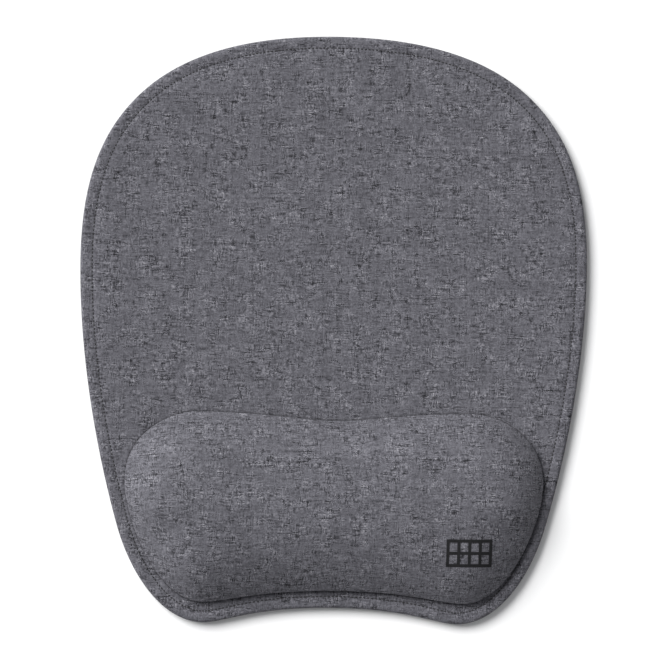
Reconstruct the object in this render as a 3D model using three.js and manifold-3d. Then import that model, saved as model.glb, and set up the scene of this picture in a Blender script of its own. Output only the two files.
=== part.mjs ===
// A mouse mat with a built-in wrist cushion: a rubber base, a foam sheet wrapped in woven
// fabric and stitched round its edge, and a foam wrist cushion with its own fabric cover.
//
// Millimetres. +X is to the user's right, +Y is away from the user and +Z is up. The origin
// is on the desk, under the middle of the mat, and the wrist cushion is at the -Y end.

import * as THREE from "three";
import { LoftGeometry } from "three/addons/geometries/LoftGeometry.js";
import { mergeVertices } from "three/addons/utils/BufferGeometryUtils.js";
import Module from "manifold-3d";

const wasm = await Module();
wasm.setup();

// ---- Driving dimensions ----

const MAT_WIDTH = 220;
const MAT_DEPTH = 254;
const TOTAL_HEIGHT = 22;

const FABRIC = 0.6; // thickness of the woven cover fabric
const RUBBER = 1.2; // thickness of the anti-slip base
const FOAM = 2.6; // thickness of the foam sheet under the mouse
const GLUE = 0.05; // glue line between two layers
const CLEARANCE = 0.3; // room between a cover and what it holds

const BASE_INSET = 0.8; // how far the base stays inside the fabric edge
const COVER_HEM = 9; // how far the cover is turned in under the foam
const STITCH_INSET = 5; // from the fabric edge to the line of stitching
const THREAD = 0.5; // width of the sewing thread as it lies
const THREAD_GROOVE = 0.7; // depth of the channel that the lower thread lies in

const CUSHION_HEM = 8; // how far the cushion's cover is turned in underneath
const BOND_FILM = 0.15; // glue film that holds the cushion on the mat

const MARK_WIDTH = 20;
const MARK_DEPTH = 12;
const MARK_CENTRE = new THREE.Vector2(58.5, -95.5);
const MARK_COLUMNS = 4;
const MARK_ROWS = 2;
const MARK_BAR = 1.3;
const MARK_FILM = 0.2;

// ---- Heights that follow from them ----

const COVER_BOTTOM = RUBBER + GLUE;
const FOAM_BOTTOM = COVER_BOTTOM + FABRIC + GLUE;
const FOAM_TOP = FOAM_BOTTOM + FOAM;
const MAT_TOP = FOAM_TOP + GLUE + FABRIC;
const CUSHION_BOTTOM = MAT_TOP + BOND_FILM + 2 * GLUE;
const MARK_TOP = GLUE + MARK_FILM; // how far the print stands over the cushion's cover
const CUSHION_HEIGHT = TOTAL_HEIGHT - MARK_TOP - CUSHION_BOTTOM;

// ---- Outlines ----

// Right half of each outline, from the middle of the back round to the middle of the front.
// A knot is a place, the heading there in degrees clockwise from +X, and how far the curve
// follows that heading before and after the knot.
const MAT_KNOTS = [
  { x: 0, y: MAT_DEPTH / 2, heading: 0, before: 0, after: 43 },
  { x: 85, y: 101, heading: 44, before: 22, after: 24 },
  { x: MAT_WIDTH / 2, y: 28, heading: 90, before: 34, after: 38 },
  { x: 93, y: -85, heading: 106, before: 36, after: 22 },
  { x: 55, y: -MAT_DEPTH / 2, heading: 180, before: 18, after: 9 },
  { x: 0, y: -120.3, heading: 180, before: 34, after: 0 },
];

const CUSHION_KNOTS = [
  { x: 0, y: -39, heading: 0, before: 0, after: 15 },
  { x: 61, y: -35.5, heading: 0, before: 32, after: 6 },
  { x: 91, y: -66, heading: 90, before: 24, after: 16 },
  { x: 56.5, y: -118.2, heading: 180, before: 20, after: 10 },
  { x: 0, y: -113, heading: 180, before: 34, after: 0 },
];

const CUSHION_SHIFT = 0.8; // the cushion is glued on this far right of the mat's middle
const CROWN_Y = -78; // the cushion is highest along a line from left to right,
const CROWN_REACH = 58; // which goes this far to each side

function heading(knot) {
  const angle = THREE.MathUtils.degToRad(-knot.heading);
  return new THREE.Vector2(Math.cos(angle), Math.sin(angle));
}

// The whole outline as points, anticlockwise from above, mirrored about the middle.
function outline(knots, steps) {
  const right = new THREE.CurvePath();
  for (let i = 1; i < knots.length; i++) {
    const [a, b] = [knots[i - 1], knots[i]];
    const start = new THREE.Vector2(a.x, a.y);
    const end = new THREE.Vector2(b.x, b.y);
    const leaving = start.clone().addScaledVector(heading(a), a.after);
    const arriving = end.clone().addScaledVector(heading(b), -b.before);
    right.add(new THREE.CubicBezierCurve(start, leaving, arriving, end));
  }
  const points = right.curves.flatMap((curve) => curve.getPoints(steps).slice(1));
  const front = points.pop();
  const back = new THREE.Vector2(knots[0].x, knots[0].y);
  const mirrored = points.map((p) => new THREE.Vector2(-p.x, p.y));
  return [back, ...mirrored, front, ...points.reverse()];
}

// The outline moved inwards along its own normals, by one distance or by one for each point.
function inset(points, distance) {
  const count = points.length;
  return points.map((point, i) => {
    const before = points[(i + count - 1) % count];
    const after = points[(i + 1) % count];
    const along = after.clone().sub(before).normalize();
    const by = Array.isArray(distance) ? distance[i] : distance;
    return new THREE.Vector2(point.x - along.y * by, point.y + along.x * by);
  });
}

function level(points, z) {
  return points.map((p) => new THREE.Vector3(p.x, p.y, z));
}

// ---- Solids ----

function positionsOnly(geometry) {
  const plain = new THREE.BufferGeometry();
  plain.setAttribute("position", geometry.getAttribute("position"));
  plain.setIndex(geometry.getIndex());
  return mergeVertices(plain, 1e-4);
}

function toSolid(geometry) {
  const merged = positionsOnly(geometry);
  return new wasm.Manifold(
    new wasm.Mesh({
      numProp: 3,
      vertProperties: new Float32Array(merged.getAttribute("position").array),
      triVerts: new Uint32Array(merged.getIndex().array),
    }),
  );
}

function toGeometry(solid) {
  const mesh = solid.getMesh();
  const geometry = new THREE.BufferGeometry();
  geometry.setAttribute("position", new THREE.BufferAttribute(mesh.vertProperties, 3));
  geometry.setIndex(new THREE.BufferAttribute(mesh.triVerts, 1));
  geometry.computeVertexNormals();
  return geometry;
}

// A closed solid through sections that go up, each anticlockwise from above.
function stack(sections) {
  return new LoftGeometry(sections, { capStart: true, capEnd: true });
}

// A flat sheet with upright sides.
function sheet(points, bottom, top) {
  return stack([level(points, bottom), level(points, top)]);
}

// A closed ring of rectangular section along an outline, such as a thread or its channel.
function band(points, distance, width, bottom, top) {
  const outer = inset(points, distance - width / 2);
  const inner = inset(points, distance + width / 2);
  const sections = [
    level(outer, bottom),
    level(outer, top),
    level(inner, top),
    level(inner, bottom),
    level(outer, bottom),
  ];
  return new LoftGeometry(sections);
}

// ---- The mat ----

const MAT_OUTLINE = outline(MAT_KNOTS, 7);

function makeBase() {
  const slab = toSolid(sheet(inset(MAT_OUTLINE, BASE_INSET), 0, RUBBER));
  const channelWidth = THREAD + 2 * CLEARANCE;
  const channel = toSolid(band(MAT_OUTLINE, STITCH_INSET, channelWidth, -1, THREAD_GROOVE));
  return toGeometry(slab.subtract(channel));
}

// The fabric wraps the foam's edge in a round fold and is turned in underneath.
function makeMatCover() {
  const fold = [
    { inset: 1.5, z: COVER_BOTTOM },
    { inset: 0.4, z: COVER_BOTTOM + 0.4 },
    { inset: 0, z: COVER_BOTTOM + 1.3 },
    { inset: 0, z: MAT_TOP - 1.5 },
    { inset: 0.5, z: MAT_TOP - 0.5 },
    { inset: 1.8, z: MAT_TOP },
  ];
  const outside = stack(fold.map((at) => level(inset(MAT_OUTLINE, at.inset), at.z)));
  const foamSpace = inset(MAT_OUTLINE, FABRIC + 1);
  const hollow = sheet(foamSpace, COVER_BOTTOM + FABRIC, MAT_TOP - FABRIC);
  const mouth = sheet(inset(MAT_OUTLINE, COVER_HEM), 0, COVER_BOTTOM + FABRIC + 1);
  const shell = toSolid(outside).subtract(toSolid(hollow)).subtract(toSolid(mouth));
  return toGeometry(shell);
}

// The sheet lies on the turned-in hem and fills the space inside it.
function makeMatFoam() {
  const edge = inset(MAT_OUTLINE, FABRIC + 1 + CLEARANCE);
  const slab = toSolid(sheet(edge, FOAM_BOTTOM, FOAM_TOP));
  const middle = inset(MAT_OUTLINE, COVER_HEM + CLEARANCE);
  const step = toSolid(sheet(middle, COVER_BOTTOM, FOAM_BOTTOM + 1));
  return toGeometry(slab.add(step));
}

function makeNeedleThread() {
  return band(MAT_OUTLINE, STITCH_INSET, THREAD, MAT_TOP + GLUE, MAT_TOP + GLUE + 0.35);
}

function makeBobbinThread() {
  return band(MAT_OUTLINE, STITCH_INSET, THREAD, CLEARANCE / 2, THREAD_GROOVE - 0.1);
}

// ---- The wrist cushion ----

const CUSHION_OUTLINE = outline(CUSHION_KNOTS, 7).map(
  (p) => new THREE.Vector2(p.x + CUSHION_SHIFT, p.y),
);

// The cushion's border at its back, sides and front: the height of its upright side, how far
// its foot is tucked in, and how wide the slope is from that side up to the flat top.
const BACK_BORDER = { wall: 2.3, tuck: 0.6, slope: 30 };
const SIDE_BORDER = { wall: 2.4, tuck: 1.7, slope: 18 };
const FRONT_BORDER = { wall: 2.6, tuck: 1, slope: 27 };
const SLOPE_START = 0.03; // share of the dome's height that is lost where the slope starts
const RING_SHARES = [1, 0.98, 0.95, 0.9, 0.83, 0.74, 0.64, 0.52, 0.38, 0.2];
const SLOPE_FACTOR = 1.3; // a skin on a sloping side is this much thicker measured upright

// The place on the crown line that a point of the outline slopes up to.
function crownOf(point) {
  const left = CUSHION_SHIFT - CROWN_REACH;
  const right = CUSHION_SHIFT + CROWN_REACH;
  return new THREE.Vector2(THREE.MathUtils.clamp(point.x, left, right), CROWN_Y);
}

// The border at a point of the outline, and how sharply the dome rounds over there.
function borderAt(point) {
  const out = point.clone().sub(crownOf(point));
  const reach = out.length();
  const end = out.y > 0 ? BACK_BORDER : FRONT_BORDER;
  const border = { reach };
  for (const key of Object.keys(end)) {
    border[key] = THREE.MathUtils.lerp(SIDE_BORDER[key], end[key], Math.abs(out.y) / reach);
  }
  border.roundness = Math.log(SLOPE_START) / Math.log(1 - border.slope / reach);
  return border;
}

// The cushion's height over its foot, at a share of the way from its crown to its outline.
function domeHeight(border, share) {
  const crown = 1 - Math.pow(share, border.roundness);
  return border.wall + (CUSHION_HEIGHT - border.wall) * crown;
}

// The domed cushion, made smaller all over by a skin's thickness.
function cushionDome(skin) {
  const bottom = CUSHION_BOTTOM + skin;
  const around = CUSHION_OUTLINE.map(borderAt);
  const rim = inset(CUSHION_OUTLINE, skin);
  const foot = inset(rim, around.map((border) => border.tuck));
  const rings = RING_SHARES.map((share) =>
    rim.map((p, i) => {
      const crown = crownOf(CUSHION_OUTLINE[i]);
      const across = crown.clone().lerp(p, share);
      const height = domeHeight(around[i], across.distanceTo(crown) / around[i].reach);
      const z = CUSHION_BOTTOM + height - skin * SLOPE_FACTOR;
      return new THREE.Vector3(across.x, across.y, z);
    }),
  );
  return stack([level(foot, bottom), ...rings]);
}

function makeCushionCover() {
  const hollow = toSolid(cushionDome(FABRIC));
  const mouth = sheet(inset(CUSHION_OUTLINE, CUSHION_HEM), MAT_TOP, CUSHION_BOTTOM + 2);
  return toGeometry(toSolid(cushionDome(0)).subtract(hollow).subtract(toSolid(mouth)));
}

// The block stands on the turned-in hem and fills the space inside it.
function makeCushionFoam() {
  const block = toSolid(cushionDome(FABRIC + CLEARANCE));
  const middle = inset(CUSHION_OUTLINE, CUSHION_HEM + CLEARANCE);
  const step = toSolid(sheet(middle, CUSHION_BOTTOM, CUSHION_BOTTOM + 2));
  return toGeometry(block.add(step));
}

function makeBondFilm() {
  const edge = inset(CUSHION_OUTLINE, 3);
  return sheet(edge, MAT_TOP + GLUE, MAT_TOP + GLUE + BOND_FILM);
}

// A plain printed grid near the cushion's front right corner, a film that follows the dome.
function makeMark() {
  const height = 2 * TOTAL_HEIGHT;
  const cellWidth = (MARK_WIDTH - MARK_BAR) / MARK_COLUMNS;
  const cellDepth = (MARK_DEPTH - MARK_BAR) / MARK_ROWS;
  let grid = toSolid(new THREE.BoxGeometry(MARK_WIDTH, MARK_DEPTH, height));
  for (let column = 0; column < MARK_COLUMNS; column++) {
    for (let row = 0; row < MARK_ROWS; row++) {
      const x = (column - (MARK_COLUMNS - 1) / 2) * cellWidth;
      const y = (row - (MARK_ROWS - 1) / 2) * cellDepth;
      const size = [cellWidth - MARK_BAR, cellDepth - MARK_BAR, height + 2];
      const window = new THREE.BoxGeometry(...size).translate(x, y, 0);
      grid = grid.subtract(toSolid(window));
    }
  }
  const punch = toGeometry(grid).translate(MARK_CENTRE.x, MARK_CENTRE.y, TOTAL_HEIGHT);
  const below = toSolid(cushionDome(0).translate(0, 0, GLUE));
  const above = toSolid(cushionDome(0).translate(0, 0, MARK_TOP));
  return toGeometry(toSolid(punch).intersect(above).subtract(below));
}

// ---- Materials ----

function material(colour, roughness) {
  return new THREE.MeshStandardMaterial({ color: colour, roughness, metalness: 0 });
}

const MELANGE_FABRIC = material(0x67666d, 0.95);
const BLACK_RUBBER = material(0x232325, 0.85);
const MAT_SPONGE = material(0x2e2e30, 0.95);
const CUSHION_FOAM = material(0xd8d4c4, 0.95);
const DARK_THREAD = material(0x2b2b30, 0.8);
const GLUE_FILM = material(0xe2dfd2, 0.4);
const DARK_PRINT = material(0x1f1f23, 0.7);

// ---- The assembly ----

function piece(name, geometry, look) {
  const mesh = new THREE.Mesh(geometry, look);
  mesh.name = name;
  return mesh;
}

const mat = new THREE.Group();
mat.add(
  piece("anti_slip_base", makeBase(), BLACK_RUBBER),
  piece("mat_foam_sheet", makeMatFoam(), MAT_SPONGE),
  piece("mat_cover", makeMatCover(), MELANGE_FABRIC),
  piece("edge_needle_thread", makeNeedleThread(), DARK_THREAD),
  piece("edge_bobbin_thread", makeBobbinThread(), DARK_THREAD),
);

const wristCushion = new THREE.Group();
wristCushion.add(
  piece("cushion_glue_film", makeBondFilm(), GLUE_FILM),
  piece("cushion_foam", makeCushionFoam(), CUSHION_FOAM),
  piece("cushion_cover", makeCushionCover(), MELANGE_FABRIC),
  piece("printed_mark", makeMark(), DARK_PRINT),
);

const mouseMat = new THREE.Group();
mouseMat.add(mat, wristCushion);

export default mouseMat;
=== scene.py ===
"""The looks of a mouse mat with a wrist cushion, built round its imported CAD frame.

Metres. +X is to the user's right, +Y is away from the user and +Z is up. The mat lies on
the floor with the wrist cushion at its -Y end.
"""

import math
from types import SimpleNamespace

import bmesh
import bpy
import numpy as np
from mathutils import Matrix, Vector
from mathutils.bvhtree import BVHTree


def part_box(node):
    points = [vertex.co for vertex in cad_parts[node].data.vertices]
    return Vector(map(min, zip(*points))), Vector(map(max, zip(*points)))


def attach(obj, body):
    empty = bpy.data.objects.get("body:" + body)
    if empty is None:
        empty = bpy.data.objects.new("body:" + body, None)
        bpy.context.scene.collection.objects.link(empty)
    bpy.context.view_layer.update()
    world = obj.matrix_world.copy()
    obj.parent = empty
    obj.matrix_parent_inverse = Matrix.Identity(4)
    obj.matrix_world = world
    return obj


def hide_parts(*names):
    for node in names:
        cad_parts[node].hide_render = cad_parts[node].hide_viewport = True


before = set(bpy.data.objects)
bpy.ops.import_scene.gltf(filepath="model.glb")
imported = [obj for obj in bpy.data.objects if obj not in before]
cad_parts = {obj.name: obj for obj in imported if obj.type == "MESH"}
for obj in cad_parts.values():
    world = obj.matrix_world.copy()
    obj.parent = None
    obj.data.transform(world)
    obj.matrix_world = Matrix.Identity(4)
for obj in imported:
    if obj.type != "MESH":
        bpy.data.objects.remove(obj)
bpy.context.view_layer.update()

MM = 0.001

# ---- Driving sizes ----

STITCH_INSET = 5.0 * MM  # from the fabric edge to the line of stitching
STITCH_PITCH = 1.6 * MM
THREAD_RADIUS = 0.22 * MM
FABRIC = 0.5 * MM  # thickness of the cover fabric
COVER_HEM = 9.0 * MM  # how far the mat's cover is turned in underneath
YARN_MM = 0.47  # distance between two yarns of the fabric, in millimetres
FOAM_GAP = 0.05 * MM  # between the foam sheet and the fabric over it

MAT_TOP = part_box("mat_cover")[1].z
COVER_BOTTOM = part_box("mat_cover")[0].z
FOAM_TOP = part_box("mat_foam_sheet")[1].z
BASE_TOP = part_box("anti_slip_base")[1].z
CUSHION_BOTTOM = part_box("cushion_cover")[0].z
CUSHION_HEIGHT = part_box("cushion_cover")[1].z - CUSHION_BOTTOM

# ---- Outlines ----


def knot(x, y, heading, before, after):
    """A place, the heading there in degrees clockwise from +X, and how far the curve follows
    that heading before and after it. Millimetres in, metres out."""
    angle = math.radians(-heading)
    return SimpleNamespace(
        place=np.array([x, y]) * MM,
        heading=np.array([math.cos(angle), math.sin(angle)]),
        before=before * MM,
        after=after * MM,
    )


# Right half of each outline, from the middle of the back round to the middle of the front.
MAT_KNOTS = [
    knot(0, 127, 0, 0, 43),
    knot(85, 101, 44, 22, 24),
    knot(110, 28, 90, 34, 38),
    knot(93, -85, 106, 36, 22),
    knot(55, -127, 180, 18, 9),
    knot(0, -120.3, 180, 34, 0),
]
CUSHION_KNOTS = [
    knot(0, -39, 0, 0, 15),
    knot(61, -35.5, 0, 32, 6),
    knot(91, -66, 90, 24, 16),
    knot(56.5, -118.2, 180, 20, 10),
    knot(0, -113, 180, 34, 0),
]
CUSHION_SHIFT = 0.8 * MM  # the cushion is glued on this far right of the mat's middle
CROWN_Y = -78 * MM  # the cushion is highest along a line from left to right,
CROWN_REACH = 58 * MM  # which goes this far to each side


def bezier(a, b, steps=80):
    t = np.linspace(0, 1, steps, endpoint=False)[:, None]
    leaving = a.place + a.after * a.heading
    arriving = b.place - b.before * b.heading
    ends = (1 - t) ** 3 * a.place + t**3 * b.place
    return ends + 3 * (1 - t) ** 2 * t * leaving + 3 * (1 - t) * t**2 * arriving


def outline(knots):
    """The closed outline, anticlockwise from above, from the middle of the back."""
    right = np.vstack([bezier(a, b) for a, b in zip(knots, knots[1:])] + [knots[-1].place])
    left = right * [-1, 1]
    return np.vstack([left, right[-2::-1]])


def even(loop, count):
    """The same closed loop as so many points in equal steps."""
    reach = np.concatenate([[0], np.cumsum(np.linalg.norm(np.diff(loop, axis=0), axis=1))])
    at = np.arange(count) * reach[-1] / count
    return np.column_stack([np.interp(at, reach, loop[:, k]) for k in (0, 1)])


def length_of(loop):
    return float(np.linalg.norm(np.roll(loop, -1, axis=0) - loop, axis=1).sum())


def outward(loop):
    along = np.roll(loop, -1, axis=0) - np.roll(loop, 1, axis=0)
    along /= np.linalg.norm(along, axis=1)[:, None]
    return np.column_stack([along[:, 1], -along[:, 0]])


def inset(loop, distance):
    """The loop moved inwards, by one distance or by one for each point."""
    return loop - outward(loop) * np.reshape(distance, (-1, 1))


def contains(loop, points):
    """Which of the points are inside the loop."""
    crossings = np.zeros(len(points), int)
    for (ax, ay), (bx, by) in zip(loop, np.roll(loop, -1, axis=0)):
        if ay == by:
            continue
        between = (points[:, 1] < max(ay, by)) & (points[:, 1] >= min(ay, by))
        crossing = ax + (points[:, 1] - ay) * (bx - ax) / (by - ay)
        crossings += between & (points[:, 0] < crossing)
    return crossings % 2 == 1


STITCHES = 16 * round(length_of(inset(outline(MAT_KNOTS)[:-1], STITCH_INSET)) / STITCH_PITCH / 16)
POINTS_PER_STITCH = 4
MAT_LOOP = even(outline(MAT_KNOTS), STITCHES * POINTS_PER_STITCH)

# ---- Meshes ----


def bridge(first, first_count, second, second_count):
    """Faces between two rings of vertices, one of which may have half the points, or just one."""
    if second_count == 1:
        return [(first + k, first + (k + 1) % first_count, second) for k in range(first_count)]
    if second_count == 2 * first_count or first_count == 1:
        return [face[::-1] for face in bridge(second, second_count, first, first_count)]
    a = [first + k for k in range(first_count)] + [first]
    b = [second + k for k in range(second_count)] + [second]
    if first_count == second_count:
        return [(a[k], a[k + 1], b[k + 1], b[k]) for k in range(first_count)]
    faces = []
    for k in range(second_count):
        faces.append((a[2 * k], a[2 * k + 1], b[k]))
        faces.append((a[2 * k + 1], b[k + 1], b[k]))
        faces.append((a[2 * k + 1], a[2 * k + 2], b[k + 1]))
    return faces


def skin(rings):
    """Vertices and faces of the surface through rings, each joined to the next."""
    faces = []
    start = 0
    for ring, after in zip(rings, rings[1:]):
        faces += bridge(start, len(ring), start + len(ring), len(after))
        start += len(ring)
    return np.vstack(rings), faces


def join(parts):
    """Several (vertices, faces) as one."""
    vertices = []
    faces = []
    start = 0
    for points, polygons in parts:
        vertices.append(points)
        faces += [tuple(start + k for k in polygon) for polygon in polygons]
        start += len(points)
    return np.vstack(vertices), faces


def make(name, vertices, faces, material, cloth=None):
    """A smooth-shaded object. cloth is where each vertex is on the flat fabric."""
    mesh = bpy.data.meshes.new(name)
    mesh.from_pydata(vertices.tolist(), [], faces)
    build = bmesh.new()
    build.from_mesh(mesh)
    bmesh.ops.recalc_face_normals(build, faces=build.faces)
    build.to_mesh(mesh)
    build.free()
    if cloth is not None:
        flat = np.column_stack([cloth, np.zeros(len(cloth))]).astype(np.float32)
        attribute = mesh.attributes.new("cloth", "FLOAT_VECTOR", "POINT")
        attribute.data.foreach_set("vector", flat.ravel())
    mesh.shade_smooth()
    mesh.materials.append(material)
    thing = bpy.data.objects.new(name, mesh)
    bpy.context.scene.collection.objects.link(thing)
    return thing


def raised(loop, height):
    """A loop's points at a height, or each at its own."""
    return np.column_stack([loop, np.broadcast_to(height, len(loop))])


# ---- Materials ----


class Look:
    """A material, with short calls for building its nodes."""

    def __init__(self, name, **numbers):
        self.material = bpy.data.materials.new(name)
        self.material.use_nodes = True
        self.tree = self.material.node_tree
        self.surface = self.tree.nodes["Principled BSDF"]
        for socket, value in numbers.items():
            self.surface.inputs[socket.replace("_", " ")].default_value = value

    def put(self, value, socket):
        if isinstance(value, bpy.types.NodeSocket):
            self.tree.links.new(value, socket)
        else:
            socket.default_value = value

    def add(self, kind, inputs, output=0, **settings):
        node = self.tree.nodes.new("ShaderNode" + kind)
        for setting, value in settings.items():
            setattr(node, setting, value)
        for socket, value in inputs.items():
            self.put(value, node.inputs[socket])
        return node.outputs[output]

    def math(self, operation, *values):
        return self.add("Math", dict(enumerate(values)), operation=operation)

    def mix(self, share, a, b):
        """a where share is 0 and b where it is 1, for numbers."""
        return self.add("Mix", {0: share, 2: a, 3: b}, data_type="FLOAT")

    def spread(self, value, low, high, to_low, to_high):
        return self.add("MapRange", {0: value, 1: low, 2: high, 3: to_low, 4: to_high})

    def speckle(self, vector, scale, detail=2.0, roughness=0.5):
        inputs = {"Vector": vector, "Scale": scale, "Detail": detail, "Roughness": roughness}
        return self.add("TexNoise", inputs, output="Fac")

    def point(self, x, y, z=0.0):
        return self.add("CombineXYZ", {0: x, 1: y, 2: z})

    def coordinates(self, output):
        return self.add("TexCoord", {}, output=output)

    def scaled(self, vector, factor):
        return self.add("VectorMath", {0: vector, "Scale": factor}, operation="SCALE")

    def ramp(self, value, stops):
        node = self.tree.nodes.new("ShaderNodeValToRGB")
        elements = node.color_ramp.elements
        while len(elements) < len(stops):
            elements.new(0.5)
        for element, (place, colour) in zip(elements, stops):
            element.position = place
            element.color = (*colour, 1)
        self.put(value, node.inputs[0])
        return node.outputs[0]

    def relief(self, height, depth, strength=1.0):
        """Bump of a height between 0 and 1 that stands for so many metres."""
        inputs = {"Strength": strength, "Distance": depth, "Height": height}
        self.put(self.add("Bump", inputs), self.surface.inputs["Normal"])

    def colour(self, value):
        self.put(value, self.surface.inputs["Base Color"])

    def roughness(self, value):
        self.put(value, self.surface.inputs["Roughness"])


def grey(level, blue=1.0):
    """A linear grey, a little bluer where blue is over 1."""
    return (level, level * 0.985, level * blue)


def weave(look):
    """The plain weave of slubby two-tone yarns: its tone from about -1 to 1, its height from
    about 0 to 1, its fine fibres, and the place on the flat cloth in millimetres."""
    cloth = look.scaled(look.add("Attribute", {}, output="Vector", attribute_name="cloth"), 1000)
    wander = look.add("TexNoise", {"Vector": cloth, "Scale": 0.12, "Detail": 1.0}, output="Color")
    off_centre = look.add("VectorMath", {0: wander, 1: (0.5, 0.5, 0.5)}, operation="SUBTRACT")
    shifted = look.add(
        "VectorMath", {0: look.scaled(off_centre, 1.6), 1: cloth}, operation="ADD"
    )
    axes = look.tree.nodes.new("ShaderNodeSeparateXYZ")
    look.put(shifted, axes.inputs[0])
    x, y = axes.outputs[0], axes.outputs[1]
    across_x, across_y = look.math("DIVIDE", x, YARN_MM), look.math("DIVIDE", y, YARN_MM)
    warp, weft = look.math("FLOOR", across_x), look.math("FLOOR", across_y)

    def yarn_tone(yarn, along, seed, slub, nep):
        """A yarn's tone: long slubs, short flecks, a few dark dashes and a tone of its own."""
        lane = look.math("MULTIPLY_ADD", yarn, 7.31, seed)
        long_part = look.speckle(look.point(lane, look.math("DIVIDE", along, slub)), 1.0, 1.0)
        short_part = look.speckle(look.point(lane, look.math("DIVIDE", along, nep), 9.0), 1.0, 0.0)
        dashes = look.speckle(look.point(lane, look.math("DIVIDE", along, slub), 23.0), 1.0, 0.0)
        own = look.add("TexWhiteNoise", {"W": lane}, noise_dimensions="1D")
        total = look.math("MULTIPLY_ADD", look.math("SUBTRACT", long_part, 0.5), 2.6, 0.1)
        total = look.math("MULTIPLY_ADD", look.math("SUBTRACT", short_part, 0.5), 2.1, total)
        total = look.math("SUBTRACT", total, look.spread(dashes, 0.60, 0.74, 0.0, 1.1))
        return look.math("MULTIPLY_ADD", look.math("SUBTRACT", own, 0.5), 0.3, total)

    warp_tone = yarn_tone(warp, y, 3.7, 3.2, 0.7)
    weft_tone = yarn_tone(weft, x, 51.2, 4.2, 0.9)
    parity = look.math("FRACT", look.math("MULTIPLY", look.math("ADD", warp, weft), 0.5))
    weft_over = look.math("GREATER_THAN", parity, 0.25)
    busy = look.spread(look.speckle(cloth, 0.13, 2.0), 0.38, 0.62, 0.55, 1.35)
    mixed = look.mix(look.mix(weft_over, 0.3, 0.8), warp_tone, weft_tone)
    tone = look.math("MULTIPLY", busy, mixed)

    half_x = look.math("SINE", look.math("MULTIPLY", look.math("FRACT", across_x), math.pi))
    half_y = look.math("SINE", look.math("MULTIPLY", look.math("FRACT", across_y), math.pi))
    warp_height = look.math("MULTIPLY", half_x, look.math("MULTIPLY_ADD", half_y, 0.5, 0.5))
    weft_height = look.math("MULTIPLY", half_y, look.math("MULTIPLY_ADD", half_x, 0.5, 0.5))
    height = look.mix(weft_over, warp_height, weft_height)
    fibre = look.speckle(cloth, 9.0, 2.0)
    height = look.math("MULTIPLY_ADD", look.math("SUBTRACT", fibre, 0.5), 0.35, height)
    return SimpleNamespace(cloth=cloth, tone=tone, height=height, fibre=fibre)


def melange_fabric():
    """Grey polyester melange: dark and pale yarns, a soft mottle, painted shade in creases and
    beside raised parts, and painted shade in the dips between the yarns.
    """
    look = Look(
        "melange_fabric",
        Sheen_Weight=0.03,
        Sheen_Roughness=0.45,
        Specular_IOR_Level=0.2,
    )
    cloth = weave(look)
    mottle = look.speckle(cloth.cloth, 0.06, 3.0, 0.55)
    level = look.math("MULTIPLY_ADD", cloth.tone, 0.34, 0.5)
    level = look.math("MULTIPLY_ADD", look.math("SUBTRACT", mottle, 0.5), 0.14, level)
    # Painted shade: the yarns are darker where they dip between crossings and lighter on their
    # crowns.
    level = look.math("MULTIPLY_ADD", look.math("SUBTRACT", cloth.height, 0.5), 0.16, level)
    level = look.math("MULTIPLY_ADD", look.math("SUBTRACT", cloth.fibre, 0.5), 0.10, level)
    stops = [
        (0.0, grey(0.007, 1.16)),
        (0.3, grey(0.040, 1.14)),
        (0.5, grey(0.095, 1.13)),
        (0.7, grey(0.164, 1.11)),
        (1.0, grey(0.32, 1.06)),
    ]
    # Painted shade: the colour is darkened where little open sky lies within 1.8 mm, as in the
    # groove round the cushion's foot and in the sewn channel.
    open_air = look.add("AmbientOcclusion", {"Distance": 1.8 * MM}, output="AO", samples=8)
    painted_crease_shade = look.spread(open_air, 0.4, 0.85, 0.3, 1.0)
    clean = look.ramp(level, stops)
    look.colour(look.add("VectorMath", {0: clean, "Scale": painted_crease_shade}, operation="SCALE"))
    look.roughness(look.spread(cloth.height, 0.0, 1.0, 0.95, 0.78))
    look.relief(cloth.height, 0.10 * MM, 0.7)
    return look.material


def rubber():
    """Black anti-slip rubber: fine grain, a dusty bloom and matt wear."""
    look = Look("black_rubber", Specular_IOR_Level=0.35)
    place = look.coordinates("Object")
    grain = look.speckle(place, 2600.0, 3.0, 0.6)
    bloom = look.speckle(place, 38.0, 4.0, 0.6)
    level = look.math("MULTIPLY_ADD", look.math("SUBTRACT", grain, 0.5), 0.35, bloom)
    stops = [(0.25, grey(0.011, 1.05)), (0.55, grey(0.017, 1.05)), (0.85, grey(0.036, 1.02))]
    look.colour(look.ramp(level, stops))
    look.roughness(look.spread(bloom, 0.3, 0.7, 0.62, 0.88))
    look.relief(grain, 0.05 * MM, 0.6)
    return look.material


def thread():
    """Dark sewing thread, twisted from three plies."""
    look = Look("dark_thread", Sheen_Weight=0.1, Specular_IOR_Level=0.4)
    place = look.scaled(look.add("Attribute", {}, output="Vector", attribute_name="cloth"), 1000)
    turned = look.add("Mapping", {"Vector": place, "Rotation": (0, 0, 0.6)})
    waves = {"Vector": turned, "Scale": 1.1, "Distortion": 0.6, "Detail": 1.0}
    plies = look.add("TexWave", waves, output="Fac")
    look.colour(look.ramp(plies, [(0.0, grey(0.006, 1.1)), (1.0, grey(0.026, 1.12))]))
    look.roughness(look.spread(plies, 0.0, 1.0, 0.8, 0.55))
    look.relief(plies, 0.05 * MM, 0.6)
    return look.material


def foam(name, colour, cell_mm):
    """Open-celled foam of one colour."""
    look = Look(name, Specular_IOR_Level=0.2)
    place = look.scaled(look.coordinates("Object"), 1000)
    cells = look.add("TexVoronoi", {"Vector": place, "Scale": 1 / cell_mm}, output="Distance")
    dark = tuple(part * 0.45 for part in colour)
    look.colour(look.ramp(cells, [(0.0, dark), (0.45, colour)]))
    look.roughness(look.spread(cells, 0.0, 1.0, 0.98, 0.85))
    look.relief(cells, 0.2 * MM, 0.8)
    return look.material


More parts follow.
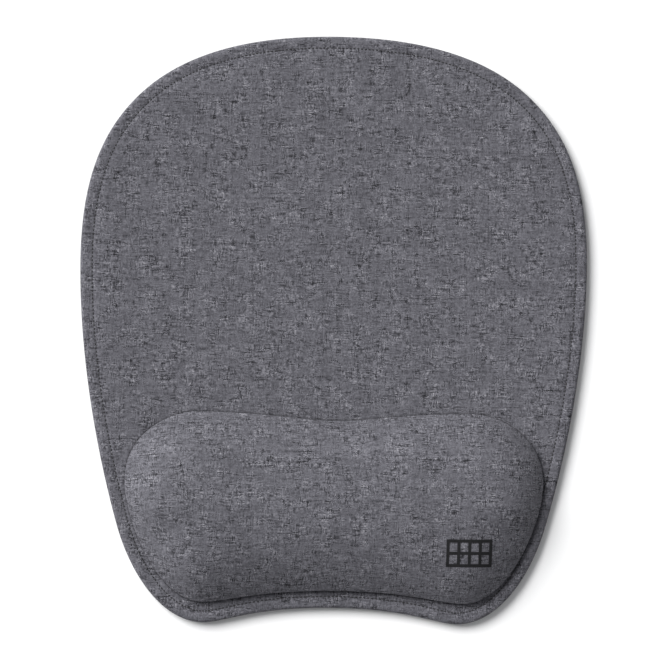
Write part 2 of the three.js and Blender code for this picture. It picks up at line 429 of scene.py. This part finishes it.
def glue():
    """Dried contact adhesive: pale, uneven and slightly glossy."""
    look = Look("glue_film", Specular_IOR_Level=0.5)
    place = look.coordinates("Object")
    streaks = look.speckle(place, 320.0, 4.0, 0.65)
    look.colour(look.ramp(streaks, [(0.3, (0.52, 0.48, 0.38)), (0.7, (0.76, 0.73, 0.66))]))
    look.roughness(look.spread(streaks, 0.3, 0.7, 0.28, 0.6))
    look.relief(streaks, 0.1 * MM, 0.5)
    return look.material


def print_ink():
    """Black ink on the fabric: thin over the yarns and almost gone between them."""
    look = Look("dark_print", Specular_IOR_Level=0.15)
    cloth = weave(look)
    cover = look.math("MULTIPLY_ADD", cloth.tone, 0.18, cloth.height)
    look.colour(look.ramp(cover, [(0.0, grey(0.004, 1.05)), (1.0, grey(0.022, 1.08))]))
    look.roughness(look.spread(cloth.height, 0.0, 1.0, 0.9, 0.6))
    look.relief(cloth.height, 0.08 * MM, 0.6)
    return look.material


FABRIC_LOOK = melange_fabric()
THREAD_LOOK = thread()

# ---- The mat's fabric cover ----

CHANNEL_DEPTH = 0.22 * MM
CHANNEL_HALF_WIDTH = 0.75 * MM
SOFT_DIP = 0.12 * MM  # how far the foam gives beside the channel
FOLD_TOP_INSET = 1.9 * MM
FOLD_BOTTOM_INSET = 1.6 * MM
FOLD_MIDDLE = 3.1 * MM  # height at which the folded edge stands furthest out
FIELD_INSETS_MM = [9, 8, 7.2, 6.6, 6.1, 5.7, 5.35, 5, 4.65, 4.3, 3.9, 3.4, 2.8, 2.3]
EDGE_LOOP = MAT_LOOP[::2]  # the folded edge needs fewer points than the sewn channel


def sewn_dip(distance, phase):
    """How far the stitching pulls the fabric down, at a distance from the edge and a place
    along a stitch, where 0 is at the needle hole."""
    off = (distance - STITCH_INSET) / CHANNEL_HALF_WIDTH
    pulled = CHANNEL_DEPTH * math.exp(-(off**2)) * (1 + 0.3 * np.cos(phase))
    soft = SOFT_DIP * math.exp(-((off / 3) ** 2))
    return pulled + soft


def fold_profile():
    """(inset, height) down the folded edge, from the top face round to the underside."""
    profile = []
    for step in range(1, 10):
        angle = math.radians(10 * step)
        out = FOLD_TOP_INSET * (1 - math.sin(angle) ** 0.85)
        profile.append((out, FOLD_MIDDLE + (MAT_TOP - FOLD_MIDDLE) * math.cos(angle) ** 0.85))
    for step in range(1, 8):
        angle = math.radians(90 * step / 7)
        out = FOLD_BOTTOM_INSET * (1 - math.cos(angle) ** 0.9)
        profile.append((out, FOLD_MIDDLE - (FOLD_MIDDLE - COVER_BOTTOM) * math.sin(angle) ** 0.9))
    return profile


def mat_cover():
    """The fabric over the mat: face, sewn channel, folded edge and turned-in hem."""
    phase = 2 * math.pi * np.arange(len(MAT_LOOP)) / POINTS_PER_STITCH
    rings = [np.array([[0, 0, MAT_TOP]])]
    cloth = [np.zeros((1, 2))]
    heart = inset(MAT_LOOP, 19 * MM)[::16]
    for share, step in ((0.08, 2), (0.2, 2), (0.34, 2), (0.48, 1), (0.62, 1), (0.75, 1), (0.88, 1)):
        rings.append(raised(heart[::step] * share, MAT_TOP))
        cloth.append(heart[::step] * share)
    for distance, step in ((19, 16), (13.5, 8), (11, 4), (9.8, 2)):
        loop = inset(MAT_LOOP, distance * MM)[::step]
        rings.append(raised(loop, MAT_TOP))
        cloth.append(loop)
    for distance in FIELD_INSETS_MM:
        loop = inset(MAT_LOOP, distance * MM)
        rings.append(raised(loop, MAT_TOP - sewn_dip(distance * MM, phase)))
        cloth.append(loop)
    last = np.array([FIELD_INSETS_MM[-1] * MM, MAT_TOP])
    spent = -last[0]
    for at in fold_profile():
        spent += float(np.linalg.norm(np.array(at) - last))
        last = np.array(at)
        rings.append(raised(inset(EDGE_LOOP, at[0]), at[1]))
        cloth.append(inset(EDGE_LOOP, -spent))
    inner = COVER_BOTTOM + FABRIC
    under = MAT_LOOP[::4]
    back_up = [(4 * MM, COVER_BOTTOM), (COVER_HEM, COVER_BOTTOM), (COVER_HEM, inner)]
    ceiling = FOAM_TOP + FOAM_GAP
    back_up += [(FABRIC + 1 * MM, inner), (FABRIC + 1 * MM, ceiling)]
    for distance, height in back_up:
        rings.append(raised(inset(under, distance), height))
        cloth.append(inset(under, distance))
    for share, step in ((0.9, 2), (0.7, 4), (0.4, 8), (0.15, 8)):
        rings.append(raised(inset(under, COVER_HEM)[::step] * share, ceiling))
        cloth.append(inset(under, COVER_HEM)[::step] * share)
    rings.append(np.array([[0, 0, ceiling]]))
    cloth.append(np.zeros((1, 2)))
    vertices, faces = skin(rings)
    cover = make("mat_fabric_cover", vertices, faces, FABRIC_LOOK, np.vstack(cloth))
    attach(cover, "root")
    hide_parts("mat_cover")


# ---- Stitches ----

STITCH_SIDES = 6
STITCH_SLANT = 0.396  # how far a stitch leans sideways from end to end, in thread radii
NEEDLE_DEPTH = 0.22 * MM  # how deep the middle of the upper thread lies in its channel
BOBBIN_HEIGHT = 0.5 * MM  # height of the middle of the lower thread
# How far along a stitch each section is, how deep its thread has sunk there, in thread
# radii, and how thick it is.
STITCH_SECTIONS = [
    (0.10, 2.3, 0.55),
    (0.18, 1.1, 0.85),
    (0.30, 0.25, 1.0),
    (0.50, 0.0, 1.05),
    (0.70, 0.25, 1.0),
    (0.82, 1.1, 0.85),
    (0.90, 2.3, 0.55),
]


def stitch(start, end, height, up):
    """One stitch between two needle holes: (vertices, faces) and its places on the thread."""
    along = (end - start) / np.linalg.norm(end - start)
    side = np.array([along[1], -along[0]])
    angles = 2 * np.pi * np.arange(STITCH_SIDES) / STITCH_SIDES
    rings = []
    cloth = []
    for share, sunk, thick in STITCH_SECTIONS:
        sideways = side * THREAD_RADIUS * STITCH_SLANT * (share - 0.5)
        middle = start + (end - start) * share + sideways
        width = np.cos(angles) * THREAD_RADIUS * thick * 1.15
        lift = np.sin(angles) * THREAD_RADIUS * thick * 0.8 - sunk * THREAD_RADIUS
        rings.append(np.column_stack([middle + side * width[:, None], height + up * lift]))
        cloth.append(np.column_stack([np.full(STITCH_SIDES, share * STITCH_PITCH), angles * MM]))
    ends = [rings[0].mean(0)[None], rings[-1].mean(0)[None]]
    vertices, faces = skin([ends[0], *rings, ends[1]])
    return vertices, faces, np.vstack([cloth[0][:1], *cloth, cloth[-1][:1]])


def stitching(name, height, up, node):
    """A row of stitches right round the mat. up is 1 on the top face and -1 underneath."""
    holes = inset(MAT_LOOP, STITCH_INSET)[::POINTS_PER_STITCH]
    pairs = zip(holes, np.roll(holes, -1, axis=0))
    made = [stitch(start, end, height, up) for start, end in pairs]
    vertices, faces = join([each[:2] for each in made])
    row = make(name, vertices, faces, THREAD_LOOK, np.vstack([each[2] for each in made]))
    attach(row, "root")
    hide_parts(node)


# ---- The anti-slip base ----

BASE_INSET = 0.8 * MM
BASE_BORDER = 12 * MM  # the strip along its edge that needs a fine mesh
DOT_RADIUS = 0.8 * MM
DOT_HEIGHT = 0.35 * MM
DOT_PITCH = 4.6 * MM
DOT_SIDES = 10
DOT_MARGIN = 7.5 * MM  # the dots keep clear of the sewn channel
HALF_CHANNEL = 0.55 * MM  # half the width of the lower thread's channel
CHANNEL_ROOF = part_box("edge_bobbin_thread")[1].z + 0.1 * MM


def grip_dot(x, y):
    """One low round dot under the base, a little sunk into it."""
    angles = 2 * np.pi * np.arange(DOT_SIDES) / DOT_SIDES
    circle = np.column_stack([np.cos(angles), np.sin(angles)]) * DOT_RADIUS
    centre = np.array([x, y])
    levels = [(1.05, 1.1), (1.0, 0.75), (0.86, 0.3), (0.6, 0.06)]
    rings = [raised(centre + circle * wide, DOT_HEIGHT * high) for wide, high in levels]
    low = np.array([[x, y, 0.0]])
    top = np.array([[x, y, DOT_HEIGHT * 1.1]])
    return skin([top, *rings, low])


def grip_base():
    """The rubber sheet: bevelled edge, sewn channel and rows of grip dots underneath."""
    loop = MAT_LOOP[::4]
    profile = [
        (BASE_BORDER, BASE_TOP),
        (BASE_INSET + 0.15 * MM, BASE_TOP),
        (BASE_INSET, BASE_TOP - 0.12 * MM),
        (BASE_INSET + 0.02 * MM, DOT_HEIGHT + 0.2 * MM),
        (BASE_INSET + 0.2 * MM, DOT_HEIGHT + 0.03 * MM),
        (BASE_INSET + 0.5 * MM, DOT_HEIGHT),
        (STITCH_INSET - HALF_CHANNEL - 0.08 * MM, DOT_HEIGHT),
        (STITCH_INSET - HALF_CHANNEL, DOT_HEIGHT + 0.06 * MM),
        (STITCH_INSET - HALF_CHANNEL, CHANNEL_ROOF),
        (STITCH_INSET + HALF_CHANNEL, CHANNEL_ROOF),
        (STITCH_INSET + HALF_CHANNEL, DOT_HEIGHT + 0.06 * MM),
        (STITCH_INSET + HALF_CHANNEL + 0.08 * MM, DOT_HEIGHT),
        (BASE_BORDER, DOT_HEIGHT),
    ]
    heart = inset(loop, BASE_BORDER)[::2]
    shares = ((0.9, 2), (0.6, 4), (0.3, 8))
    inward = [raised(heart[:: step // 2] * share, DOT_HEIGHT) for share, step in shares]
    across = [raised(heart[:: step // 2] * share, BASE_TOP) for share, step in shares[::-1]]
    rings = [np.array([[0, 0, BASE_TOP]]), *across]
    rings += [raised(inset(loop, distance), height) for distance, height in profile]
    rings += [*inward, np.array([[0, 0, DOT_HEIGHT]])]
    low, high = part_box("anti_slip_base")
    rows = np.arange(low.y, high.y, DOT_PITCH * math.sqrt(3) / 2)
    columns = np.arange(low.x, high.x, DOT_PITCH)
    places = np.array(
        [(x + (row % 2) * DOT_PITCH / 2, y) for row, y in enumerate(rows) for x in columns]
    )
    places = places[contains(inset(loop, DOT_MARGIN), places)]
    dots = [grip_dot(x, y) for x, y in places]
    vertices, faces = join([skin(rings), *dots])
    base = make("grip_base", vertices, faces, rubber())
    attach(base, "root")
    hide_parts("anti_slip_base")


# ---- The cushion's fabric cover ----

CUSHION_POINTS = 208
CUSHION_PHASE = np.array([0.4, 0.13])  # the cushion is cut from another place of the fabric
START_SMALLER = 0.15 * MM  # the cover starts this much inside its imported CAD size
FILLING_PRESSURE = 4
FILLING_FRAMES = 20
MOST_SWELL = 0.6 * MM  # a limit on how far the filling may move a point
SLOPE_START = 0.03  # share of the dome's height that is already lost where its slope starts
# At the back, the sides and the front: the height of the cushion's upright side, how far its
# foot is tucked in, and how wide the slope is from there up to the flat top.
BACK_BORDER = np.array([2.3, 0.6, 30]) * MM
SIDE_BORDER = np.array([2.4, 1.7, 18]) * MM
FRONT_BORDER = np.array([2.6, 1.0, 27]) * MM
DOME_SHARES = [0.07, 0.2, 0.32, 0.43, 0.53, 0.62, 0.7, 0.77, 0.83, 0.88, 0.92, 0.95, 0.975]
DOME_SHARES += [0.99, 1.0]
WALL_STEPS = 5
HEM_INSETS = np.array([2.6, 4.6, 6.4, 8.0]) * MM


def cushion_rings():
    """Rings from the crown line out over the dome, down the side and in under the hem, and
    where each of their points is on the flat fabric."""
    rim = even(outline(CUSHION_KNOTS), CUSHION_POINTS) + [CUSHION_SHIFT, 0]
    ends = CUSHION_SHIFT + np.array([-1, 1]) * CROWN_REACH
    crown = np.column_stack([np.clip(rim[:, 0], *ends), np.full(len(rim), CROWN_Y)])
    out = rim - crown
    reach = np.linalg.norm(out, axis=1)
    facing = (out[:, 1] / reach)[:, None]  # 1 at the back, 0 at the sides and -1 at the front
    end_border = np.where(facing > 0, BACK_BORDER, FRONT_BORDER)
    border = SIDE_BORDER + (end_border - SIDE_BORDER) * np.abs(facing)
    wall, tuck, slope = border.T
    roundness = math.log(SLOPE_START) / np.log(1 - slope / reach)
    smaller = inset(rim, START_SMALLER)
    top = CUSHION_BOTTOM - START_SMALLER

    rings = []
    for share in DOME_SHARES:
        height = wall + (CUSHION_HEIGHT - wall) * (1 - share**roundness)
        rings.append(raised(crown + (smaller - crown) * share, top + height))
    for step in range(1, WALL_STEPS + 1):
        angle = math.pi / 2 * step / WALL_STEPS
        height = CUSHION_BOTTOM + (wall - START_SMALLER) * (1 - math.sin(angle))
        rings.append(raised(inset(smaller, tuck * (1 - math.cos(angle))), height))
    rings += [raised(inset(smaller, distance), CUSHION_BOTTOM) for distance in HEM_INSETS]

    steps = np.linalg.norm(np.diff([raised(crown, rings[0][:, 2]), *rings], axis=0), axis=2)
    spent = np.cumsum(steps, axis=0)
    flat = crown + spent[:, :, None] * (out / reach[:, None])
    return rings, flat.reshape(-1, 2)


def crown_faces():
    """Faces that close the innermost ring, from its back points to the front ones. At each end
    two corners are one point, so that face is a triangle."""
    half, quarter = CUSHION_POINTS // 2, CUSHION_POINTS // 4
    faces = []
    for k in range(quarter):
        left = (k, k + 1, half - k - 1, half - k)
        right = (-k % CUSHION_POINTS, half + k, half + k + 1, CUSHION_POINTS - k - 1)
        faces += [tuple(dict.fromkeys(left)), tuple(dict.fromkeys(right))]
    return faces


def inflate(thing, held):
    """Fills the cloth with a little pressure while the held points stay where they are. This
    takes up slack of a few tenths of a millimetre: the dome's shape comes from its rings."""
    group = thing.vertex_groups.new(name="held")
    group.add(held, 1.0, "REPLACE")
    cloth = thing.modifiers.new("Cloth", "CLOTH")
    settings = cloth.settings
    settings.quality = 8
    settings.mass = 0.3
    settings.tension_stiffness = 25
    settings.compression_stiffness = 25
    settings.shear_stiffness = 12
    settings.bending_stiffness = 2
    settings.use_pressure = True
    settings.uniform_pressure_force = FILLING_PRESSURE
    settings.effector_weights.gravity = 0
    settings.vertex_group_mass = group.name
    cloth.collision_settings.use_collision = False
    scene = bpy.context.scene
    for step in range(1, FILLING_FRAMES + 1):
        scene.frame_set(step)
    swollen = thing.evaluated_get(bpy.context.evaluated_depsgraph_get()).data
    before = points_of(thing.data)
    moved = points_of(swollen) - before
    thing.modifiers.remove(cloth)
    furthest = np.linalg.norm(moved, axis=1).max()
    after = before + moved * min(1, MOST_SWELL / furthest)
    thing.data.vertices.foreach_set("co", after.astype(np.float32).ravel())
    thing.data.update()
    scene.frame_set(1)


def points_of(mesh):
    flat = np.zeros(3 * len(mesh.vertices), np.float32)
    mesh.vertices.foreach_get("co", flat)
    return flat.reshape(-1, 3).astype(float)


def apply_modifiers(thing):
    graph = bpy.context.evaluated_depsgraph_get()
    final = bpy.data.meshes.new_from_object(thing.evaluated_get(graph))
    thing.modifiers.clear()
    thing.data = final


def cushion_cover():
    """The domed cushion cover, filled by simulation and then given its fabric's thickness."""
    rings, cloth = cushion_rings()
    vertices, faces = skin(rings)
    faces += crown_faces()
    cover = make("cushion_fabric_cover", vertices, faces, FABRIC_LOOK, cloth + CUSHION_PHASE)
    feet = (1 + len(HEM_INSETS)) * CUSHION_POINTS
    inflate(cover, list(range(len(vertices) - feet, len(vertices))))
    finer = cover.modifiers.new("finer", "SUBSURF")
    finer.levels = finer.render_levels = 1
    thick = cover.modifiers.new("thickness", "SOLIDIFY")
    thick.thickness = FABRIC
    thick.offset = -1
    apply_modifiers(cover)
    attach(cover, "root")
    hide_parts("cushion_cover")
    return cover


# ---- The printed mark ----

MARK_COLUMNS = 4
MARK_ROWS = 2
MARK_BAR = 1.3 * MM
INK = 0.06 * MM  # thickness of the print, and its distance from the fabric
CELLS = 6  # faces across one window of the grid


def printed_mark(cover):
    """A plain grid of ink that follows the cushion's surface."""
    low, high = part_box("printed_mark")
    surface = BVHTree.FromPolygons(
        [v.co for v in cover.data.vertices], [p.vertices for p in cover.data.polygons]
    )
    across = lines(low.x, high.x, MARK_COLUMNS)
    deep = lines(low.y, high.y, MARK_ROWS)
    build = bmesh.new()
    corners = {}

    def corner(column, row, lift):
        key = (column, row, lift)
        if key not in corners:
            down = Vector((0, 0, -1))
            hit, normal, _, _ = surface.ray_cast(
                Vector((across[column][0], deep[row][0], 1)), down
            )
            corners[key] = build.verts.new(hit + normal * lift)
        return corners[key]

    filled = {
        (column, row)
        for column in range(len(across) - 1)
        for row in range(len(deep) - 1)
        if across[column][1] or deep[row][1]
    }
    for column, row in sorted(filled):
        around = [(column, row), (column + 1, row), (column + 1, row + 1), (column, row + 1)]
        build.faces.new([corner(*place, 2 * INK) for place in around])
        build.faces.new([corner(*place, INK) for place in reversed(around)])
        sides = [(0, -1), (1, 0), (0, 1), (-1, 0)]
        for k, (dx, dy) in enumerate(sides):
            if (column + dx, row + dy) in filled:
                continue
            a, b = around[k], around[(k + 1) % 4]
            edge = [corner(*b, 2 * INK), corner(*a, 2 * INK), corner(*a, INK), corner(*b, INK)]
            build.faces.new(edge)
    mesh = bpy.data.meshes.new("cushion_print")
    build.to_mesh(mesh)
    build.free()
    attribute = mesh.attributes.new("cloth", "FLOAT_VECTOR", "POINT")
    attribute.data.foreach_set("vector", points_of(mesh).astype(np.float32).ravel())
    mesh.materials.append(print_ink())
    mark = bpy.data.objects.new("cushion_print", mesh)
    bpy.context.scene.collection.objects.link(mark)
    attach(mark, "root")
    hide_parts("printed_mark")


def lines(low, high, windows):
    """Places along a grid's side, each with whether a bar starts there."""
    window = (high - low - MARK_BAR) / windows - MARK_BAR
    places = []
    at = low
    for _ in range(windows):
        places += [(at + MARK_BAR * k / 3, True) for k in range(3)]
        at += MARK_BAR
        places += [(at + window * k / CELLS, False) for k in range(CELLS)]
        at += window
    places += [(at + MARK_BAR * k / 3, True) for k in range(3)]
    return places + [(high, False)]


# ---- The hidden layers ----


def dress_hidden_layers():
    """The foam sheet, the foam block and the glue keep their CAD shapes."""
    layers = [
        ("mat_foam_sheet", "mat_sponge", foam("sponge_look", (0.03, 0.03, 0.032), 0.5)),
        ("cushion_foam", "cushion_foam", foam("foam_look", (0.66, 0.63, 0.53), 0.8)),
        ("cushion_glue_film", "glue_film", glue()),
    ]
    for node, slot, material in layers:
        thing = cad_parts[node]
        thing.data.materials.clear()
        thing.data.materials.append(material)


# ---- Stage ----

FLOOR_REACH = 4.0
FLOOR_CORNERS = [(-1, -1), (1, -1), (1, 1), (-1, 1)]
FLOOR_WHITE = 0.88
SUN_DIRECTION = (-0.61, 0.49, 0.62)  # towards the light: back left, half way up
SUN_STRENGTH = 5.25
SUN_SPREAD = 45  # how wide the light looks, in degrees
SKY_STRENGTH = 0.34


def floor():
    """A plain white floor under the mat."""
    mesh = bpy.data.meshes.new("floor")
    corners = [(x * FLOOR_REACH, y * FLOOR_REACH, 0) for x, y in FLOOR_CORNERS]
    mesh.from_pydata(corners, [], [(0, 1, 2, 3)])
    look = Look("floor", Roughness=0.9, Specular_IOR_Level=0.1)
    look.surface.inputs["Base Color"].default_value = (*[FLOOR_WHITE] * 3, 1)
    mesh.materials.append(look.material)
    ground = bpy.data.objects.new("floor", mesh)
    bpy.context.scene.collection.objects.link(ground)


def lights():
    """A soft sun from the back left and an even sky."""
    key = bpy.data.lights.new("key", "SUN")
    key.energy = SUN_STRENGTH
    key.angle = math.radians(SUN_SPREAD)
    thing = bpy.data.objects.new("key", key)
    thing.rotation_euler = Vector(SUN_DIRECTION).to_track_quat("Z", "Y").to_euler()
    bpy.context.scene.collection.objects.link(thing)
    world = bpy.data.worlds.new("studio")
    world.use_nodes = True
    sky = world.node_tree.nodes["Background"]
    sky.inputs["Color"].default_value = (0.97, 0.98, 1.0, 1)
    sky.inputs["Strength"].default_value = SKY_STRENGTH
    bpy.context.scene.world = world
    bpy.context.scene.view_settings.view_transform = "Standard"


CAMERA_LEAN = 4.5  # degrees from straight above, towards the mat's left
CAMERA_ROLL = 0.7
CAMERA_DISTANCE = 2.5
VIEW_WIDTH = 285.5 * MM
CAMERA_TARGET = (-1.75 * MM, 0.0, MAT_TOP)


def camera():
    """Almost straight above, a little from the left, with a long lens."""
    lens = bpy.data.cameras.new("camera")
    lens.sensor_width = 36
    lens.lens = 36 * CAMERA_DISTANCE / VIEW_WIDTH
    lens.clip_start = 0.05
    lens.clip_end = 20
    thing = bpy.data.objects.new("camera", lens)
    bpy.context.scene.collection.objects.link(thing)
    lean = math.radians(CAMERA_LEAN)
    back = Vector((-math.sin(lean), 0, math.cos(lean)))
    right = Vector((0, 1, 0)).cross(back).normalized()
    up = back.cross(right)
    turn = Matrix((right, up, back)).transposed().to_4x4()
    target = Vector(CAMERA_TARGET)
    roll = Matrix.Rotation(math.radians(CAMERA_ROLL), 4, "Z")
    thing.matrix_world = Matrix.Translation(target + back * CAMERA_DISTANCE) @ turn @ roll
    bpy.context.scene.camera = thing


# ---- The whole ----

camera()
floor()
lights()
dress_hidden_layers()
grip_base()
mat_cover()
stitching("needle_stitches", MAT_TOP - NEEDLE_DEPTH, 1, "edge_needle_thread")
stitching("bobbin_stitches", BOBBIN_HEIGHT, -1, "edge_bobbin_thread")
printed_mark(cushion_cover())
